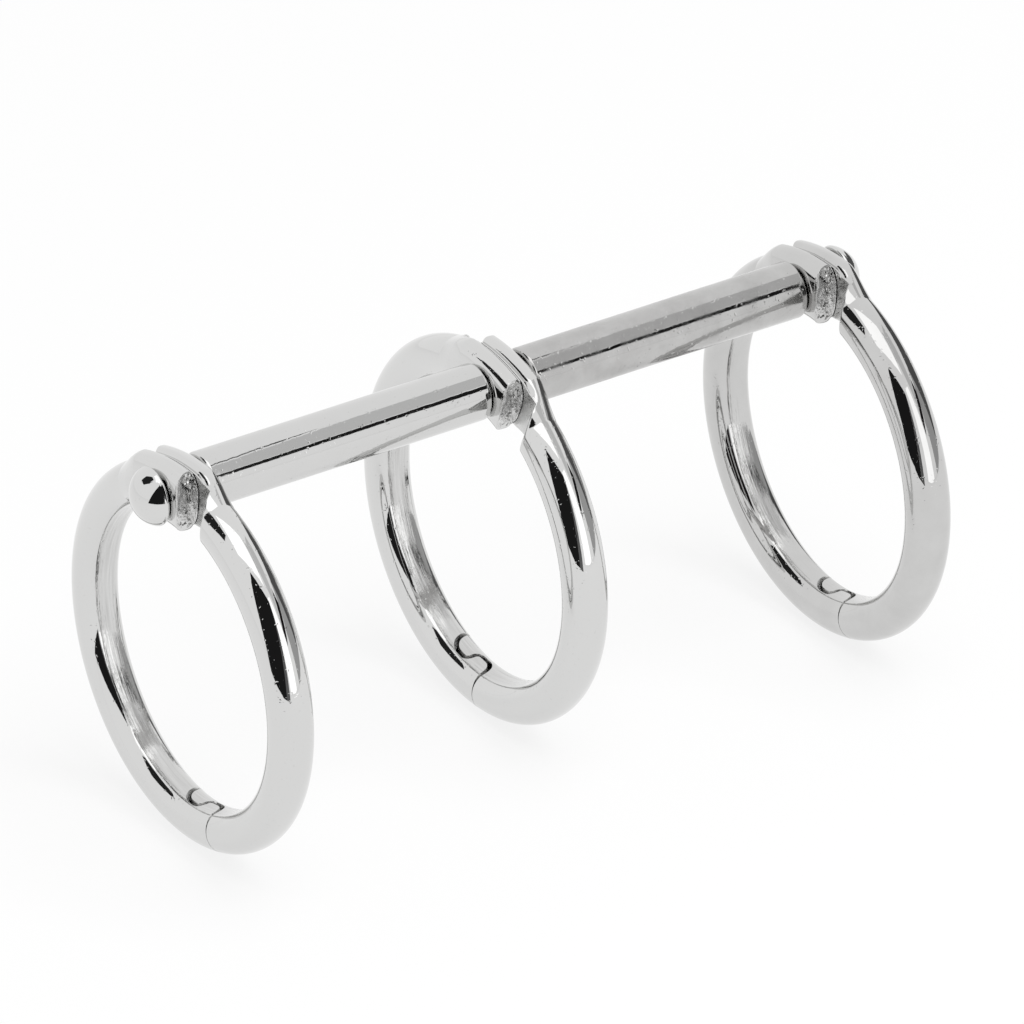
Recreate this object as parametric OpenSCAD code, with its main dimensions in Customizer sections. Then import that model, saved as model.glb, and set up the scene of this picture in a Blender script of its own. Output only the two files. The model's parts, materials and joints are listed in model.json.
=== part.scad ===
/* [Rings] */
// Inside diameter of a closed ring, measured between the inner flats
ring_inner_d = 35; // [25:1:60]
// Diameter of the ring wire
wire_d = 5; // [4:0.1:6]
// Depth of the flat pressed along the inside of the wire
inner_flat = 0.5; // [0.2:0.1:0.9]
// Distance between neighbouring rings along the pin
ring_pitch = 41; // [25:0.5:90]
// Angle that each ring stands away from the vertical
ring_splay = 8; // [2:0.5:12]

/* [Hinge] */
// Diameter of the pin that carries the three rings
pin_d = 4; // [3:0.1:4.6]
// Radial clearance of the lugs on the pin
pin_clearance = 0.05; // [0.02:0.01:0.1]
// Side play between neighbours along the pin
side_play = 0.06; // [0.02:0.01:0.2]
// Distance from the pin's axis out to the lug's upper edge
lug_rise = 3.8; // [3.2:0.1:4.4]
// Distance from the pin's axis in to the lug's lower edge
lug_drop = 3.3; // [3:0.1:4.2]
// Height of the lug's flat face above the side of the wire
lug_proud = 0.2; // [0.1:0.05:0.5]
// Distance from the pin's axis to the sheared end of the lug
lug_end = 4.4; // [3.4:0.1:5]
// Radius about the pin that rounds off the corners of the lug
lug_round = 5.4; // [4.6:0.1:6.2]
// Rounding of the lug's edges at its outer face
lug_edge = 0.9; // [0.3:0.1:1.5]
// Rounding of the lug's edges at the lap between the two halves
lap_edge = 0.4; // [0.2:0.1:0.8]
// Distance from the pin's axis to where the lug has run out into the wire
lug_run = 9; // [8:0.1:12]
// Gap between a turning lug's corners and the shoulder of the other half
shoulder_gap = 1.9; // [0.5:0.1:2.5]
// Length of the shoulder's ramp
shoulder_ramp = 1.2; // [0.6:0.1:2]

/* [Spacer tubes] */
// Outside diameter of the spacer tubes
tube_d = 6.4; // [5.8:0.1:8]
// Radial clearance of the tubes on the pin
tube_clearance = 0.1; // [0.05:0.01:0.3]

/* [Rivet heads] */
// Diameter of the rivet heads
head_d = 6.6; // [6:0.1:9]
// Height of the straight rim under the dome
head_rim = 1.1; // [0.5:0.1:2]
// Height of the dome on the rim
head_dome = 1.5; // [0.8:0.1:2.5]

/* [Closure] */
// Length of each hook along the wire
hook_len = 3.9; // [3:0.1:5]
// Overlap of the two barbs across the wire
hook_barb = 1.8; // [1:0.1:2.4]
// Radius of the rounded front of a hook
hook_round = 2.3; // [1.2:0.1:2.8]
// Radius of the rounded corner of a barb
barb_round = 0.7; // [0.4:0.1:1]
// Gap between the two hooks
hook_gap = 0.3; // [0.15:0.05:0.5]

/* [Hidden] */
$fn = 96;

wire_r = wire_d / 2;
mid_r = ring_inner_d / 2 + wire_r - inner_flat;
outer_r = mid_r + wire_r;
pin_z = outer_r + mid_r * cos(ring_splay);

lug_t = wire_r + lug_proud;
lug_w = lug_rise + lug_drop;
shoulder_r = lug_round + shoulder_gap;
lug_inset = 0.1;
neck_step = 0.05;
neck_start = lug_round / 3;
neck_half = (lug_run - neck_start) / 2;

stack_half = lug_t + side_play;
tube_len = ring_pitch - 2 * stack_half;
pin_half = ring_pitch + stack_half;
head_r = head_d / 2;
dome_r = (head_r * head_r + head_dome * head_dome) / (2 * head_dome);

barb_half = hook_barb / 2;
half_gap = hook_gap / 2;
hook_margin = 2;
hook_reach = hook_len + 2 * hook_margin;
wire_sweep = 180 + arc_angle(hook_len + hook_margin / 2);
cut_depth = wire_d + hook_margin;

// Turn about the ring's centre that carries a point along the wire by arc length s
function arc_angle(s) = s / mid_r * 180 / PI;

// Each half is drawn lying flat: the pin's axis is Z at the origin, the closure lies below on -Y
module wire() {
    translate([0, -mid_r, 0])
    rotate(90 - wire_sweep)
    rotate_extrude(angle = wire_sweep)
    translate([mid_r, 0])
    difference() {
        circle(r = wire_r);
        translate([-wire_d - wire_r + inner_flat, -wire_r])
        square([wire_d, wire_d]);
    }
}

// Section of the lug, from its outer face to the lap face on y = 0, with rounded edges
module lug_section() {
    translate([lug_edge - lug_drop, -lug_t])
    square([lug_w - 2 * lug_edge, lug_t]);
    translate([-lug_drop, lug_edge - lug_t])
    square([lug_w, lug_t - lug_edge - lap_edge]);
    translate([lap_edge - lug_drop, -lap_edge])
    square([lug_w - 2 * lap_edge, lap_edge]);
    for (corner = [lug_edge, lap_edge], side = [-1, 1])
        translate([
            side < 0 ? corner - lug_drop : lug_rise - corner,
            corner == lug_edge ? lug_edge - lug_t : -lap_edge
        ])
        circle(r = corner);
}

// Eye around the pin: the lug's section bent with the ring, its corners rounded, its end sheared
module lug_eye() {
    intersection() {
        translate([0, -mid_r, 0])
        rotate(90 - arc_angle(2 * lug_round))
        rotate_extrude(angle = 2 * arc_angle(2 * lug_round))
        translate([mid_r, 0])
        lug_section();
        translate([0, 0, -2 * lug_t])
        linear_extrude(3 * lug_t)
        difference() {
            circle(r = lug_round);
            translate([-lug_end - lug_w, -lug_w])
            square([lug_w, 2 * lug_w]);
        }
    }
}

// Taper that runs the eye out into the round wire, a small step below the faces of the lugs
module lug_neck() {
    intersection() {
        translate([0, -mid_r, 0])
        rotate(-arc_angle(neck_start + neck_half))
        translate([-neck_half, mid_r * cos(arc_angle(neck_half)), 0])
        rotate([0, 90, 0])
        cylinder(h = 2 * neck_half, r1 = lug_drop - lug_inset, r2 = wire_r - lug_inset);
        translate([0, -lug_run, neck_step - lug_t])
        cube([2 * lug_run, 2 * lug_run, 2 * (lug_t - neck_step)]);
    }
}

// Room for the other half's lug: everything beyond the lap face, out to a sloping shoulder
module lap_cut() {
    translate([0, 0, -side_play / 2])
    cylinder(h = lug_t + side_play, r1 = shoulder_r, r2 = shoulder_r + shoulder_ramp);
}

// Fills x < 0 and y < y_side, with the corner between them rounded: the front of a hook
module hook_front(y_side, radius) {
    translate([-hook_reach, y_side - radius - wire_d])
    square([hook_reach, wire_d]);
    translate([-hook_reach, y_side - wire_d])
    square([hook_reach - radius, wire_d]);
    translate([-radius, y_side - radius])
    circle(r = radius);
}

// Carries an outline through the wire along the radius at arc length s past the bottom
module through_wire(s) {
    translate([0, -mid_r, 0])
    rotate(arc_angle(s))
    translate([0, cut_depth / 2 - mid_r, 0])
    rotate([90, 0, 0])
    linear_extrude(cut_depth)
    children();
}

// Everything on the other half's side of the barb, and on into the other hook's pocket beside it
module beyond_barb() {
    through_wire(-half_gap) {
        translate([-hook_reach, -wire_d])
        square([hook_reach, 2 * wire_d]);
        translate([-hook_reach, barb_half])
        square([hook_reach + hook_margin, wire_d]);
    }
}

// Hook of the half on +X, reaching past the bottom to -X, with all its faces moved out by grow
module hook(grow) {
    intersection() {
        through_wire(-hook_len - grow)
        mirror([1, 0])
        hook_front(barb_half + grow, hook_round + grow);
        through_wire(grow)
        hook_front(barb_half + grow, barb_round + grow);
    }
}

// Root of the hook of the half on +X, which carries it across from its own half
module hook_root() {
    through_wire(-half_gap)
    translate([-hook_margin, -wire_d])
    square([2 * hook_margin, wire_d - barb_half - hook_gap]);
}

// What the closure takes away from the half on +X: the other hook's pocket, and all past its own hook
module closure_cut() {
    difference() {
        union() {
            beyond_barb();
            rotate([0, 180, 0])
            hook(half_gap);
        }
        hook(-half_gap);
        hook_root();
    }
}

module half_ring() {
    difference() {
        union() {
            wire();
            lug_eye();
            lug_neck();
        }
        translate([0, 0, -lug_t - side_play])
        cylinder(h = 2 * stack_half, d = pin_d + 2 * pin_clearance);
        lap_cut();
        closure_cut();
    }
}

// Stands a half on the pin as one of ring k, counted along +X, swung by the ring's splay
module in_ring(k) {
    splay = k == 2 ? ring_splay : -ring_splay;
    translate([(k - 2) * ring_pitch, 0, pin_z])
    rotate([splay, 0, 0])
    rotate([90, 0, 90])
    children();
}

module back_half(k) {
    color("silver")
    in_ring(k)
    half_ring();
}

module front_half(k) {
    color("silver")
    in_ring(k)
    rotate([0, 180, 0])
    half_ring();
}

module spacer_tube(k) {
    color("gainsboro")
    translate([(k - 2) * ring_pitch + stack_half, 0, pin_z])
    rotate([0, 90, 0])
    difference() {
        cylinder(h = tube_len, d = tube_d);
        translate([0, 0, -side_play])
        cylinder(h = tube_len + 2 * side_play, d = pin_d + 2 * tube_clearance);
    }
}

module rivet_head() {
    cylinder(h = head_rim, r = head_r);
    intersection() {
        translate([0, 0, head_rim + head_dome - dome_r])
        sphere(r = dome_r);
        translate([0, 0, head_rim])
        cylinder(h = head_dome, r = head_r);
    }
}

module pivot_pin() {
    color("lightgrey")
    translate([0, 0, pin_z])
    rotate([0, 90, 0]) {
        translate([0, 0, -pin_half])
        cylinder(h = 2 * pin_half, d = pin_d);
        translate([0, 0, pin_half])
        rivet_head();
        translate([0, 0, -pin_half])
        mirror([0, 0, 1])
        rivet_head();
    }
}

pivot_pin();
spacer_tube(1);  // spacer_tube_1
spacer_tube(2);  // spacer_tube_2
back_half(1);  // back_half_1
front_half(1);  // front_half_1
back_half(2);  // back_half_2
front_half(2);  // front_half_2
back_half(3);  // back_half_3
front_half(3);  // front_half_3
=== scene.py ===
import json
import math

import bmesh
import bpy
import numpy as np
from mathutils import Matrix, Vector, noise


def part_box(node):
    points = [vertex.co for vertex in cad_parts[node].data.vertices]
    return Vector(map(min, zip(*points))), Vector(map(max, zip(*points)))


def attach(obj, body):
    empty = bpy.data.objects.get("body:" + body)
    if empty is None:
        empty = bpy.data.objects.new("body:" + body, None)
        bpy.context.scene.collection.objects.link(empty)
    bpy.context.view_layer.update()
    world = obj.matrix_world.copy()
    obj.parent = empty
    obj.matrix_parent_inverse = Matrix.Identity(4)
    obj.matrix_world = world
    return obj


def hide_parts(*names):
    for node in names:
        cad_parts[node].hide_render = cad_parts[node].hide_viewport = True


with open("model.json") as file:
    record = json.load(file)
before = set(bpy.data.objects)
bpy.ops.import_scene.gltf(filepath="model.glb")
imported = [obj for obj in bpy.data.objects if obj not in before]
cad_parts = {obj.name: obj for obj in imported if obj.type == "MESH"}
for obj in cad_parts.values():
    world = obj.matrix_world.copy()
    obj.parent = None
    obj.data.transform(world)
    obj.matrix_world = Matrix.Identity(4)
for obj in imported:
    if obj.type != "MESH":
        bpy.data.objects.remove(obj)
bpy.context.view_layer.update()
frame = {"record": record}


# Hinge pin: one steel rod through all the lugs and tubes, with a domed head formed on each end.
# It was turned and headed cold, then plated with the rest, so the dome meets its rim in an edge.
MM = 0.001
pin_low, pin_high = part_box("pivot_pin")
pin_z = (pin_low.z + pin_high.z) / 2
pin_end = pin_high.x
pin_r = 2.0 * MM
pin_sides = 128
head_r = (pin_high.z - pin_low.z) / 2
head_dome = 2.2 * MM
head_rim = 0.4 * MM
rim_edge = 0.12 * MM
rim_edge_start = 50.0
rim_back = 0.7 * head_rim
rim_back_end = 172.0
dome_r = (head_r ** 2 + head_dome ** 2) / (2 * head_dome)
dome_tilt = math.degrees(math.asin((head_r - rim_edge / 2) / dome_r))
rim_x = pin_end - head_dome


def arc(centre, radius, start, end, steps):
    """Points (x, r) on an arc, with its angles in degrees."""
    turn = [math.radians(start + (end - start) * i / steps) for i in range(steps + 1)]
    return [(centre[0] + radius * math.cos(t), centre[1] + radius * math.sin(t)) for t in turn]


def turned(name, profile, axis_z, sides, closed):
    """A piece turned about the pin's axis from its profile, a list of (x, r)."""
    on_axis = 1e-7
    crease = math.radians(50)
    mesh = bmesh.new()
    rings = []
    for x, r in profile:
        if r < on_axis:
            rings.append([mesh.verts.new((x, 0.0, axis_z))])
            continue
        angles = [2 * math.pi * i / sides for i in range(sides)]
        rings.append([mesh.verts.new((x, r * math.sin(a), axis_z + r * math.cos(a))) for a in angles])
    pairs = list(zip(rings, rings[1:] + rings[:1] if closed else rings[1:]))
    for near, far in pairs:
        for i in range(sides):
            j = (i + 1) % sides
            corners = [near[i % len(near)], near[j % len(near)], far[j % len(far)], far[i % len(far)]]
            mesh.faces.new(list(dict.fromkeys(corners)))
    bmesh.ops.recalc_face_normals(mesh, faces=mesh.faces)
    data = bpy.data.meshes.new(name)
    mesh.to_mesh(data)
    mesh.free()
    data.shade_smooth()
    data.set_sharp_from_angle(angle=crease)
    piece = bpy.data.objects.new(name, data)
    bpy.context.scene.collection.objects.link(piece)
    return piece


head = arc((pin_end - dome_r, 0.0), dome_r, 0.0, dome_tilt, steps=28)
head[0] = (pin_end, 0.0)
head += arc((rim_x - rim_edge, head_r - rim_edge), rim_edge, rim_edge_start, 90.0, steps=4)
head += arc((rim_x - head_rim + rim_back, head_r - rim_back), rim_back, 90.0, rim_back_end, steps=10)
head += [(rim_x - head_rim, pin_r)]
pin_profile = head + [(-x, r) for x, r in reversed(head)]
hinge_pin = turned("hinge_pin", pin_profile, pin_z, pin_sides, closed=False)


# The plating that all the pieces share is bright nickel over steel: mirror-like where the steel was
# tumbled smooth, and dull where it was left rough. Its group gives colour, roughness and height.
def group_socket(group, name, way, kind, value=None):
    socket = group.interface.new_socket(name=name, in_out=way, socket_type=kind)
    if value is not None:
        socket.default_value = value


def math_node(nodes, links, operation, first, second):
    node = nodes.new("ShaderNodeMath")
    node.operation = operation
    for slot, value in zip(node.inputs, (first, second)):
        if isinstance(value, (int, float)):
            slot.default_value = value
        else:
            links.new(value, slot)
    return node.outputs[0]


def plating_group():
    """Pits, tarnish and rough places darken the plating, and ripples, pits and lumps shape it."""
    bright_nickel = (0.665, 0.665, 0.66, 1.0)
    shaded_nickel = (0.43, 0.425, 0.42, 1.0)
    group = bpy.data.node_groups.new("nickel_plating", "ShaderNodeTree")
    group_socket(group, "Rough Mask", "INPUT", "NodeSocketFloat", 0.0)
    group_socket(group, "Wire Place", "INPUT", "NodeSocketVector")
    group_socket(group, "Ripple", "INPUT", "NodeSocketFloat", 0.3)
    group_socket(group, "Pits", "INPUT", "NodeSocketFloat", 0.5)
    group_socket(group, "Polish", "INPUT", "NodeSocketFloat", 0.05)
    group_socket(group, "Tarnish", "INPUT", "NodeSocketFloat", 0.0)
    group_socket(group, "Dull", "INPUT", "NodeSocketFloat", 0.3)
    group_socket(group, "Color", "OUTPUT", "NodeSocketColor")
    group_socket(group, "Roughness", "OUTPUT", "NodeSocketFloat")
    group_socket(group, "Height", "OUTPUT", "NodeSocketFloat")
    nodes, links = group.nodes, group.links
    given = nodes.new("NodeGroupInput")
    result = nodes.new("NodeGroupOutput")
    anywhere = nodes.new("ShaderNodeTexCoord").outputs["Object"]
    mask = given.outputs["Rough Mask"]

    def grain(where, scale, detail, roughness):
        texture = nodes.new("ShaderNodeTexNoise")
        texture.inputs["Scale"].default_value = scale
        texture.inputs["Detail"].default_value = detail
        texture.inputs["Roughness"].default_value = roughness
        links.new(where, texture.inputs["Vector"])
        return texture.outputs["Fac"]

    def ramp(source, low, high):
        spread = nodes.new("ShaderNodeMapRange")
        spread.inputs["From Min"].default_value = low
        spread.inputs["From Max"].default_value = high
        links.new(source, spread.inputs["Value"])
        return spread.outputs["Result"]

    ripple = grain(anywhere, scale=420.0, detail=2.0, roughness=0.5)
    lumps = grain(given.outputs["Wire Place"], scale=1700.0, detail=4.0, roughness=0.6)
    specks = grain(anywhere, scale=2600.0, detail=1.0, roughness=0.5)
    haze = grain(anywhere, scale=260.0, detail=5.0, roughness=0.6)

    rippled = math_node(nodes, links, "MULTIPLY", ripple, given.outputs["Ripple"])
    pitted = math_node(nodes, links, "MULTIPLY", ramp(specks, low=0.66, high=0.8), given.outputs["Pits"])
    lumpy = math_node(nodes, links, "MULTIPLY", lumps, mask)
    height = math_node(nodes, links, "SUBTRACT", rippled, pitted)
    height = math_node(nodes, links, "ADD", height, lumpy)
    links.new(height, result.inputs["Height"])

    hazed = ramp(haze, low=0.3, high=0.75)
    polish = math_node(nodes, links, "MULTIPLY", hazed, given.outputs["Polish"])
    dull = math_node(nodes, links, "MULTIPLY", mask, given.outputs["Dull"])
    rough = math_node(nodes, links, "ADD", polish, dull)
    links.new(rough, result.inputs["Roughness"])

    dusky = math_node(nodes, links, "MULTIPLY", mask, ramp(lumps, low=0.35, high=0.95))
    clouded = ramp(haze, low=-0.3, high=0.85)
    tarnished = math_node(nodes, links, "MULTIPLY", clouded, given.outputs["Tarnish"])
    darkest = math_node(nodes, links, "MAXIMUM", dusky, tarnished)
    shade = math_node(nodes, links, "MAXIMUM", pitted, darkest)
    tone = nodes.new("ShaderNodeMix")
    tone.data_type = "RGBA"
    clean, dark = (s for s in tone.inputs if s.type == "RGBA")
    clean.default_value = bright_nickel
    dark.default_value = shaded_nickel
    links.new(shade, tone.inputs["Factor"])
    links.new(next(s for s in tone.outputs if s.type == "RGBA"), result.inputs["Color"])
    return group


nickel_plating = plating_group()


def plated(name, ripple, pits, polish, tarnish=0.0, dull=0.3, mask=None, bump=0.02 * MM):
    """A plated finish. With a mask, the mesh says where it is rough and how the wire runs."""
    material = bpy.data.materials.new(name)
    material.use_nodes = True
    nodes, links = material.node_tree.nodes, material.node_tree.links
    metal = nodes["Principled BSDF"]
    metal.inputs["Metallic"].default_value = 1.0
    surface = nodes.new("ShaderNodeGroup")
    surface.node_tree = nickel_plating
    surface.inputs["Ripple"].default_value = ripple
    surface.inputs["Pits"].default_value = pits
    surface.inputs["Polish"].default_value = polish
    surface.inputs["Tarnish"].default_value = tarnish
    surface.inputs["Dull"].default_value = dull
    if mask:
        where = nodes.new("ShaderNodeAttribute")
        where.attribute_name = mask
        links.new(where.outputs["Fac"], surface.inputs["Rough Mask"])
        along = nodes.new("ShaderNodeAttribute")
        along.attribute_name = "wire_place"
        links.new(along.outputs["Vector"], surface.inputs["Wire Place"])
    relief = nodes.new("ShaderNodeBump")
    relief.inputs["Strength"].default_value = 1.0
    relief.inputs["Distance"].default_value = bump
    links.new(surface.outputs["Height"], relief.inputs["Height"])
    links.new(relief.outputs["Normal"], metal.inputs["Normal"])
    links.new(surface.outputs["Color"], metal.inputs["Base Color"])
    links.new(surface.outputs["Roughness"], metal.inputs["Roughness"])
    return material


hinge_pin.data.materials.append(plated("pin_nickel", ripple=0.25, pits=0.15, polish=0.05))
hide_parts("pivot_pin")
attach(hinge_pin, "pivot_pin")


# Spacer tubes: two lengths of drawn steel tube that ride on the pin and keep the rings apart.
# They were cut, tumbled until their ends were round, and plated over a lightly pitted skin. The
# second one has tarnished more than the first.
tube_bore = 2.1 * MM
tube_end = 0.45 * MM
tube_lip = 0.15 * MM
tube_sides = 128
tube_finish = {
    1: {"ripple": 0.9, "pits": 0.4, "polish": 0.09, "tarnish": 0.15},
    2: {"ripple": 1.3, "pits": 1.0, "polish": 0.24, "tarnish": 1.0},
}
for k, finish in tube_finish.items():
    low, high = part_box(f"spacer_tube_{k}")
    tube_r = (high.z - low.z) / 2
    right = [(high.x, tube_bore + tube_lip)]
    right += arc((high.x - tube_end, tube_r - tube_end), tube_end, 0.0, 90.0, steps=10)
    left = [(low.x + high.x - x, r) for x, r in reversed(right)]
    lips = [(low.x + tube_lip, tube_bore), (high.x - tube_lip, tube_bore)]
    tube = turned(f"spacer_sleeve_{k}", right + left + lips, pin_z, tube_sides, closed=True)
    tube.data.materials.append(plated(f"tube_nickel_{k}", **finish))
    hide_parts(f"spacer_tube_{k}")
    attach(tube, f"spacer_tube_{k}")


# Half rings: round steel wire bent to a half circle, with a flat rolled along its inside. The top is
# pressed to a lug, pierced for the pin and milled half away for its partner, and its end is left as
# it was sheared. The bottom is sawn to a barbed hook. Both halves of a ring are the same piece.
loops = {m["name"]: Vector(m["pos_m"]) for m in frame["record"]["mounts"] if "loop" in m["name"]}
ring_drop = pin_z - loops["loop_2"].z
ring_mid_r = math.hypot(loops["loop_2"].y, ring_drop)
wire_r = loops["loop_2"].z - ring_mid_r
wire_sides = 160
inner_flat = 0.25 * MM
flat_crown_r = 6.0 * MM
flat_edge = 0.06 * MM
lug_rise = 3.8 * MM
lug_drop = 3.3 * MM
lug_t = 2.7 * MM
lug_square = 3.6
lug_end = 4.4 * MM
lug_round = 4.4 * MM
lug_full = 3.8 * MM
lug_run = 8.0 * MM
lug_blend_power = 1.4
lug_blend_swell = 0.6
lap_play = 0.03 * MM
lap_edge = 0.75 * MM
groove_width = 0.9 * MM
groove_share = 0.13
shoulder_r = 7.3 * MM
shoulder_ramp = 1.2 * MM
eye_r = 2.05 * MM
eye_sides = 64
hook_len = 3.9 * MM
hook_barb = 0.9 * MM
hook_round = 2.3 * MM
barb_round = 0.7 * MM
hook_gap_inside = 0.38 * MM
hook_gap_outside = 0.025 * MM
hook_gap_taper = 5
hook_spare = 2.0 * MM


def soft_min(one, other, corner):
    """The lesser of two lengths, with the corner where they meet rounded."""
    share = np.clip(0.5 + 0.5 * (other - one) / corner, 0.0, 1.0)
    return other * (1 - share) + one * share - corner * share * (1 - share)


def ring_section(along, turn):
    """Distance from the middle of the wire to its surface, at each turn about it."""
    lift = flat_crown_r - wire_r + inner_flat
    flat = lift * np.cos(turn) + np.sqrt(flat_crown_r ** 2 - (lift * np.sin(turn)) ** 2)
    wire = soft_min(np.full_like(turn, wire_r), flat, flat_edge)
    reach = np.where(np.cos(turn) > 0, lug_rise, lug_drop)
    across = np.abs(np.cos(turn) / reach) ** lug_square + np.abs(np.sin(turn) / lug_t) ** lug_square
    lug = across ** (-1 / lug_square)
    run = np.clip((along - lug_full) / (lug_run - lug_full), 0.0, 1.0)
    share = 1 - run ** lug_blend_power * (1 + lug_blend_swell * (1 - run))
    return wire + (lug - wire) * share


def half_ring_points(along, out, side):
    """Point at a length along the wire from the pin, out from its middle, and to one side of it."""
    angle = along / ring_mid_r
    r = ring_mid_r + out
    return np.stack([r * np.sin(angle), r * np.cos(angle) - ring_mid_r, side], axis=-1)


def half_ring_grid():
    """Surface of the half before it is sawn and pierced, from the lug's end to past the hook."""
    fine_until = 10.5 * MM
    fine_step = 0.1 * MM
    coarse_rows = 130
    end_square = 3
    squeeze_power = 3
    groove_power = 2
    ends = math.pi * ring_mid_r + hook_len + hook_spare / 2
    lengths = np.concatenate([
        np.arange(-lug_end, fine_until, fine_step),
        np.linspace(fine_until, ends, coarse_rows),
    ])
    turns = 2 * np.pi * np.arange(wire_sides) / wire_sides
    along, turn = np.meshgrid(lengths, turns, indexing="ij")
    radius = ring_section(np.abs(along), turn)
    out, side = radius * np.cos(turn), radius * np.sin(turn)
    end_at = -lug_end * (1 - np.abs(out / lug_round) ** end_square) ** (1 / end_square)
    squeeze = np.clip(-along / lug_end, 0.0, 1.0) ** squeeze_power
    along = np.where(along < 0, along * (1 - squeeze) + end_at * squeeze, along)
    points = half_ring_points(along, out, side)
    reach = np.hypot(points[..., 0], points[..., 1])
    lapped = np.clip((shoulder_r - reach) / groove_width, 0.0, 1.0)
    near_lap = np.clip(1 + side / groove_width, 0.0, 1.0)
    grooved = out * (1 - groove_share * lapped * near_lap ** groove_power)
    points = half_ring_points(along, grooved, side)
    reach = np.hypot(points[..., 0], points[..., 1])
    lap = (reach - shoulder_r) / shoulder_ramp * (lug_t + 2 * lap_play) - lap_play
    lap = np.maximum(lap, -lap_play)
    points[..., 2] = soft_min(points[..., 2], lap, lap_edge)
    return points


def sheared_cap(rim):
    """Rings of points that close the lug's end, broken up as sheared steel is."""
    cap_rings = 34
    first_share = 0.985
    last_share = 0.02
    bulge = 0.06 * MM
    bulge_run = 0.04
    break_depth = 0.22 * MM
    break_run = 0.1
    break_scale = 1100.0
    break_fade = 0.7
    break_step = 2.1
    break_layers = 5
    middle = rim.mean(axis=0)
    caps = []
    for share in np.linspace(first_share, last_share, cap_rings):
        ring = middle + (rim - middle) * share
        ring[:, 0] -= bulge * min(1.0, (1 - share) / bulge_run)
        rough = min(1.0, (1 - share) / break_run)
        for p in ring:
            broken = noise.fractal(Vector(p) * break_scale, break_fade, break_step, break_layers)
            p[0] += break_depth * rough * broken
        caps.append(ring)
    return caps


def half_ring_mesh(name):
    """The blank: the wire bent and pressed to shape, with its lug's end sheared."""
    grid = half_ring_grid()
    rows = list(reversed(sheared_cap(grid[0]))) + list(grid)
    mesh = bmesh.new()
    rings = [[mesh.verts.new(p) for p in row] for row in rows]
    for near, far in zip(rings, rings[1:]):
        for i in range(wire_sides):
            j = (i + 1) % wire_sides
            mesh.faces.new((near[i], far[i], far[j], near[j]))
    mesh.faces.new(list(rings[0]))
    mesh.faces.new(list(reversed(rings[-1])))
    bmesh.ops.recalc_face_normals(mesh, faces=mesh.faces)
    data = bpy.data.meshes.new(name)
    mesh.to_mesh(data)
    mesh.free()
    return data


def closure_outline(hook_gap):
    """Edge of one half's hook, as lengths past the bottom and sides of the wire, from top to foot."""
    far = 2.0 * wire_r
    barb = hook_barb + hook_gap
    front = hook_round + hook_gap
    tip = hook_len + hook_gap
    notch = barb_round + hook_gap
    nose = hook_round - hook_gap
    heel = barb_round - hook_gap
    crest = hook_barb - hook_gap
    path = [(tip, far)]
    path += arc((tip - front, front - barb), front, 0.0, -90.0, steps=16)
    path += arc((notch - hook_gap, notch - barb), notch, -90.0, -180.0, steps=10)
    path += arc((-heel - hook_gap, crest - heel), heel, 0.0, 90.0, steps=8)
    path += arc((nose + hook_gap - hook_len, crest - nose), nose, 90.0, 180.0, steps=16)
    path += [(hook_gap - hook_len, -far)]
    beyond = -hook_len - 2 * hook_spare
    return path + [(beyond, -far), (beyond, far)]


def closure_cutter(name):
    """What is sawn away: all past the hook's edge, in a gap that narrows outwards, and the eye."""
    depth = wire_r + hook_spare / 2
    wall_rows = 19
    bottom = math.pi * ring_mid_r
    mesh = bmesh.new()
    walls = []
    for out in np.linspace(-depth, depth, wall_rows):
        inward = min(1.0, max(0.0, 0.5 - out / (2 * wire_r))) ** hook_gap_taper
        gap = hook_gap_outside + (hook_gap_inside - hook_gap_outside) * inward
        points = [half_ring_points(bottom - q, out, z) for q, z in closure_outline(gap)]
        walls.append([mesh.verts.new(p) for p in points])
    for inner, outer in zip(walls, walls[1:]):
        for i in range(len(inner)):
            j = (i + 1) % len(inner)
            mesh.faces.new((inner[i], inner[j], outer[j], outer[i]))
    mesh.faces.new(list(reversed(walls[0])))
    mesh.faces.new(list(walls[-1]))
    bmesh.ops.create_cone(
        mesh, cap_ends=True, segments=eye_sides, radius1=eye_r, radius2=eye_r, depth=4 * lug_t
    )
    bmesh.ops.triangulate(mesh, faces=[f for f in mesh.faces if len(f.verts) > 4])
    bmesh.ops.recalc_face_normals(mesh, faces=mesh.faces)
    data = bpy.data.meshes.new(name)
    mesh.to_mesh(data)
    mesh.free()
    return data


def cut_half_ring():
    """The half as it leaves the bench: the blank with its hook sawn and its eye pierced."""
    weld_gap = 0.002 * MM
    sliver = 0.0005 * MM
    crease = math.radians(48)
    blank = bpy.data.objects.new("half_ring_blank", half_ring_mesh("half_ring_blank"))
    cutter = bpy.data.objects.new("half_ring_cutter", closure_cutter("half_ring_cutter"))
    for piece in (blank, cutter):
        bpy.context.scene.collection.objects.link(piece)
    cut = blank.modifiers.new("saw", "BOOLEAN")
    cut.operation = "DIFFERENCE"
    cut.solver = "EXACT"
    cut.object = cutter
    bpy.context.view_layer.update()
    depsgraph = bpy.context.evaluated_depsgraph_get()
    data = bpy.data.meshes.new_from_object(blank.evaluated_get(depsgraph))
    for piece in (blank, cutter):
        bpy.data.objects.remove(piece)
    mesh = bmesh.new()
    mesh.from_mesh(data)
    bmesh.ops.remove_doubles(mesh, verts=mesh.verts, dist=weld_gap)
    bmesh.ops.dissolve_degenerate(mesh, edges=mesh.edges, dist=sliver)
    mesh.to_mesh(data)
    mesh.free()
    data.shade_smooth()
    data.set_sharp_from_angle(angle=crease)
    return data


end_zone = 0.25 * MM


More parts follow.
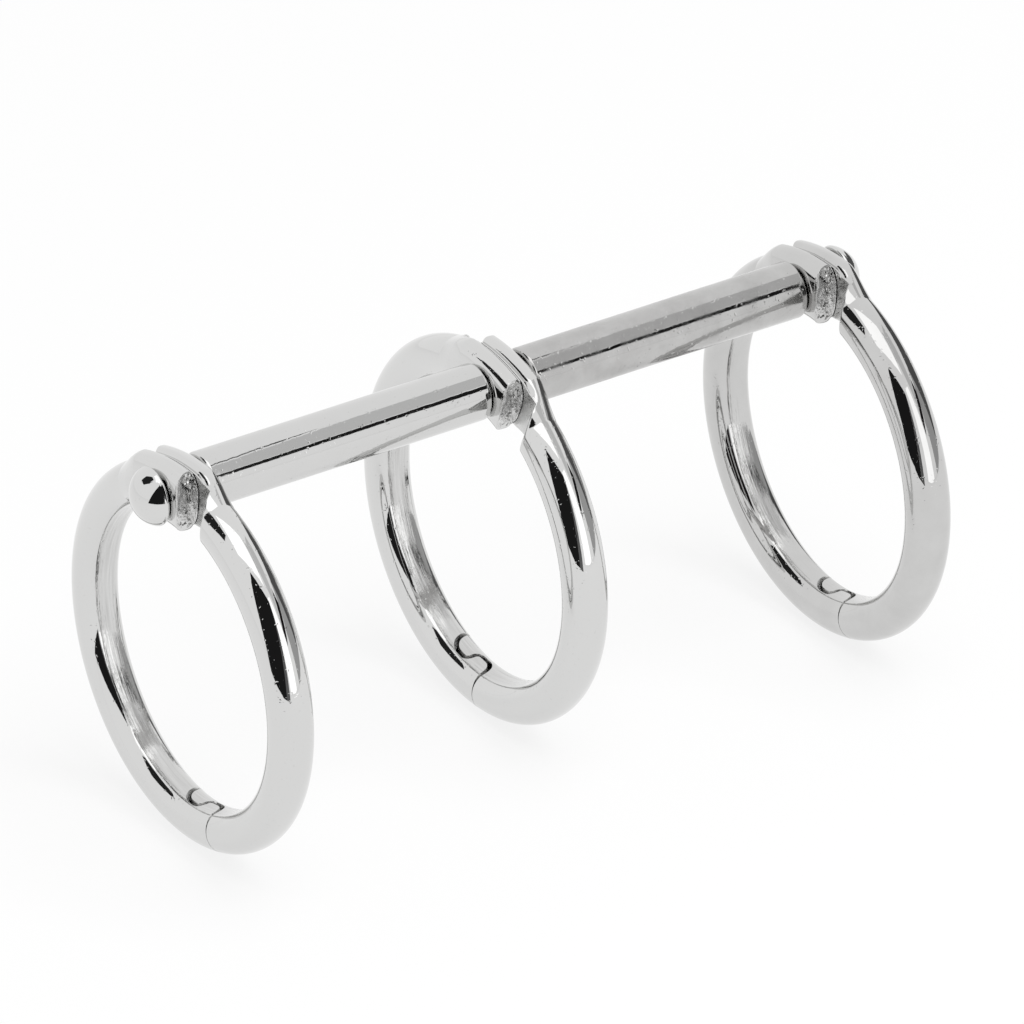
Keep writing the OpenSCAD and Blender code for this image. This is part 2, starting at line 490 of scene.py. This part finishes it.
def mark_rough_places(data):
    """Masks the flat along the inside, the lap and the sheared end, and says how the wire runs."""
    flat_skin = 0.04 * MM
    flat_fade = 0.12 * MM
    flat_rough = 0.9
    end_fade = 0.2 * MM
    lap_zone = 0.25 * MM
    lap_rough = 0.15
    streak_length = 14
    streak_crowding = 1.5
    points = np.zeros(len(data.vertices) * 3, np.float32)
    data.vertices.foreach_get("co", points)
    x, y, z = points.reshape(-1, 3).T
    out = np.hypot(x, y + ring_mid_r) - ring_mid_r
    reach = np.hypot(x, y)
    flat = np.clip((wire_r - flat_skin - np.hypot(out, z)) / flat_fade, 0.0, 1.0) * (out < 0)
    end = np.clip((-x - lug_end + end_zone) / end_fade, 0.0, 1.0) * (reach < lug_run)
    ramp = (reach - shoulder_r) / shoulder_ramp * lug_t
    lap = (z > ramp - lap_zone) * (reach < shoulder_r + shoulder_ramp)
    mask = np.maximum(flat * flat_rough, np.maximum(end, lap * lap_rough))
    data.attributes.new("rough_place", "FLOAT", "POINT").data.foreach_set("value", mask)
    along = np.arctan2(x, y + ring_mid_r) * ring_mid_r / streak_length
    place = np.stack([along, out, z * streak_crowding], axis=1).astype(np.float32).ravel()
    data.attributes.new("wire_place", "FLOAT_VECTOR", "POINT").data.foreach_set("vector", place)


half_ring = cut_half_ring()
mark_rough_places(half_ring)
wire_finish = {
    "ripple": 0.2, "pits": 0.15, "polish": 0.045, "dull": 0.1, "mask": "rough_place", "bump": 0.06 * MM,
}
ring_nickel = plated("ring_nickel", **wire_finish)
dusky_nickel = plated("dusky_nickel", tarnish=0.5, **wire_finish)
sheared_nickel = plated(
    "sheared_nickel", ripple=0.6, pits=0.5, polish=0.2, dull=0.55, mask="rough_place", bump=0.08 * MM
)
lap_nickel = plated("lap_nickel", ripple=0.2, pits=0.15, polish=0.6)
for finish in (ring_nickel, sheared_nickel, lap_nickel):
    half_ring.materials.append(finish)
sheared_index = 1
lap_index = 2
end_facing = -0.5
lap_facing = 0.95
for face in half_ring.polygons:
    if face.center.x < end_zone - lug_end and face.normal.x < end_facing:
        face.material_index = sheared_index
    elif face.normal.z > lap_facing and face.center.xy.length < shoulder_r:
        face.material_index = lap_index
stand_up = Matrix(((0, 0, 1, 0), (1, 0, 0, 0), (0, 1, 0, 0), (0, 0, 0, 1)))
turn_about = Matrix.Rotation(math.pi, 4, "Y")
tarnished_ring = 3
for k in (1, 2, 3):
    centre = loops[f"loop_{k}"]
    splay = Matrix.Rotation(math.atan2(centre.y, ring_drop), 4, "X")
    hang = Matrix.Translation((centre.x, 0.0, pin_z)) @ splay @ stand_up
    for side, turn in (("back", Matrix.Identity(4)), ("front", turn_about)):
        data = half_ring.copy()
        data.transform(hang @ turn)
        if k == tarnished_ring:
            data.materials[0] = dusky_nickel
        half = bpy.data.objects.new(f"{side}_ring_half_{k}", data)
        bpy.context.scene.collection.objects.link(half)
        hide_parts(f"{side}_half_{k}")
        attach(half, f"{side}_half_{k}")


# Studio: a white paper floor and white surroundings that bright metal mirrors, and a large soft lamp
# overhead. Black, grey and white cards stand about the set, and only their reflections are seen: they
# draw the dark streaks and the grey and bright bands along the wires, the tubes and the heads.
def is_seen(nodes, links):
    """1 where a surface is seen directly, in a mirror or through glass, and 0 where it only lights."""
    ray = nodes.new("ShaderNodeLightPath")
    seen = math_node(nodes, links, "MAXIMUM", ray.outputs["Is Camera Ray"], ray.outputs["Is Glossy Ray"])
    return math_node(nodes, links, "MAXIMUM", seen, ray.outputs["Is Transmission Ray"])


def studio_world():
    light_level = 0.6
    seen_level = 1.0
    world = bpy.data.worlds.new("studio")
    world.use_nodes = True
    nodes, links = world.node_tree.nodes, world.node_tree.links
    sky = nodes["Background"]
    sky.inputs["Color"].default_value = (1.0, 1.0, 1.0, 1.0)
    level = nodes.new("ShaderNodeMapRange")
    level.inputs["To Min"].default_value = light_level
    level.inputs["To Max"].default_value = seen_level
    links.new(is_seen(nodes, links), level.inputs["Value"])
    links.new(level.outputs["Result"], sky.inputs["Strength"])
    bpy.context.scene.world = world


def studio_floor():
    half_width = 3.0
    paper_white = (0.95, 0.95, 0.95, 1.0)
    glow_share = 0.8
    data = bpy.data.meshes.new("floor")
    signs = ((-1, -1), (1, -1), (1, 1), (-1, 1))
    corners = [(x * half_width, y * half_width, 0.0) for x, y in signs]
    data.from_pydata(corners, [], [(0, 1, 2, 3)])
    floor = bpy.data.objects.new("floor", data)
    bpy.context.scene.collection.objects.link(floor)
    material = bpy.data.materials.new("white_floor")
    material.use_nodes = True
    nodes, links = material.node_tree.nodes, material.node_tree.links
    paper = nodes["Principled BSDF"]
    paper.inputs["Base Color"].default_value = paper_white
    paper.inputs["Roughness"].default_value = 0.9
    paper.inputs["Specular IOR Level"].default_value = 0.0
    glow = nodes.new("ShaderNodeEmission")
    glow.inputs["Strength"].default_value = 1.0
    blend = nodes.new("ShaderNodeMixShader")
    share = math_node(nodes, links, "MULTIPLY", is_seen(nodes, links), glow_share)
    links.new(share, blend.inputs["Fac"])
    links.new(paper.outputs["BSDF"], blend.inputs[1])
    links.new(glow.outputs["Emission"], blend.inputs[2])
    links.new(blend.outputs["Shader"], nodes["Material Output"].inputs["Surface"])
    data.materials.append(material)


def direction(azimuth, elevation):
    """Way to look from the set, in degrees from its front and up from the floor."""
    a, e = math.radians(azimuth), math.radians(elevation)
    return Vector((math.sin(a) * math.cos(e), -math.cos(a) * math.cos(e), math.sin(e)))


def studio_card(name, corners, distance, brightness):
    """A card whose corners are seen from the set at these azimuths and elevations."""
    data = bpy.data.meshes.new(name)
    middle = Vector((0.0, 0.0, pin_z / 2))
    points = [direction(azimuth, elevation) * distance + middle for azimuth, elevation in corners]
    data.from_pydata(points, [], [tuple(range(len(points)))])
    card = bpy.data.objects.new(name, data)
    bpy.context.scene.collection.objects.link(card)
    material = bpy.data.materials.new(name)
    material.use_nodes = True
    nodes, links = material.node_tree.nodes, material.node_tree.links
    nodes.remove(nodes["Principled BSDF"])
    glow = nodes.new("ShaderNodeEmission")
    glow.inputs["Color"].default_value = (1.0, 1.0, 1.0, 1.0)
    glow.inputs["Strength"].default_value = brightness
    links.new(glow.outputs["Emission"], nodes["Material Output"].inputs["Surface"])
    data.materials.append(material)
    card.visible_camera = False
    card.visible_diffuse = False
    card.visible_shadow = False


def studio_lamp(name, azimuth, elevation, distance, size, power):
    lamp = bpy.data.lights.new(name, "AREA")
    lamp.shape = "SQUARE"
    lamp.size = size
    lamp.energy = power
    way = direction(azimuth, elevation)
    holder = bpy.data.objects.new(name, lamp)
    holder.location = way * distance
    holder.rotation_mode = "QUATERNION"
    holder.rotation_quaternion = way.to_track_quat("Z", "Y")
    holder.visible_glossy = False
    bpy.context.scene.collection.objects.link(holder)


dark_flag = [(-84, -16), (-62, -12), (-38, -5), (-5, 48), (-50, 56)]
grey_flag = [(-38, -5), (-25, -4), (-5, 48)]
front_strip = [(-13, -4), (18, 0), (21, 24), (20, 50), (-3, 50)]
grey_wall = [(36, -6), (75, -8), (75, 34), (40, 24)]
dark_doorway = [(75, -8), (112, -14), (140, -28), (138, -12), (106, 26), (75, 32)]
dark_rail = [(24, 21), (60, 30), (60, 40), (24, 30)]
grey_ceiling = [(26, 32), (60, 42), (100, 44), (80, 62), (40, 58)]
ceiling_seam = [(38, 59.5), (82, 63.5), (82, 65), (38, 61)]
dark_corner = [(-99, 45), (-116, 30), (-138, 28), (-142, 43), (-124, 61), (-99, 61)]
top_box = [(-75, 60), (20, 56), (90, 70), (-140, 70)]
studio_world()
studio_floor()
studio_card("dark_flag", dark_flag, distance=0.28, brightness=0.014)
studio_card("grey_flag", grey_flag, distance=0.284, brightness=0.13)
studio_card("front_strip", front_strip, distance=1.2, brightness=1.6)
studio_card("grey_wall", grey_wall, distance=1.24, brightness=0.42)
studio_card("dark_doorway", dark_doorway, distance=1.28, brightness=0.1)
studio_card("dark_rail", dark_rail, distance=2.0, brightness=0.014)
studio_card("grey_ceiling", grey_ceiling, distance=2.2, brightness=0.66)
studio_card("ceiling_seam", ceiling_seam, distance=2.1, brightness=0.12)
studio_card("dark_corner", dark_corner, distance=0.9, brightness=0.02)
studio_card("top_box", top_box, distance=1.5, brightness=1.6)
studio_lamp("soft_box", azimuth=20.0, elevation=66.0, distance=0.9, size=0.75, power=5.0)


# Camera: a long lens that looks down on the set from above and to the left of its front. Its place
# was fitted to the outlines of the rings and the bar, and it aims below the pin.
camera_azimuth = -33.44
camera_elevation = 29.86
camera_distance = 1.6
camera_shift_right = 1.43 * MM
camera_shift_up = -13.76 * MM
focal_pixels = 14891.0
image_pixels = 1024.0
back = direction(camera_azimuth, camera_elevation)
turn_right = math.radians(camera_azimuth)
right_way = Vector((math.cos(turn_right), math.sin(turn_right), 0.0))
up_way = back.cross(right_way)
spot = Vector((0.0, 0.0, pin_z)) + back * camera_distance
spot += right_way * camera_shift_right + up_way * camera_shift_up
camera = bpy.data.objects.new("camera", bpy.data.cameras.new("camera"))
camera.data.sensor_width = 36.0
camera.data.lens = focal_pixels / image_pixels * camera.data.sensor_width
camera.data.clip_start = 0.05
camera.data.clip_end = 20.0
camera.matrix_world = Matrix((
    (right_way.x, up_way.x, back.x, spot.x),
    (right_way.y, up_way.y, back.y, spot.y),
    (right_way.z, up_way.z, back.z, spot.z),
    (0.0, 0.0, 0.0, 1.0),
))
bpy.context.scene.collection.objects.link(camera)
bpy.context.scene.camera = camera
bpy.context.scene.view_settings.view_transform = "Standard"
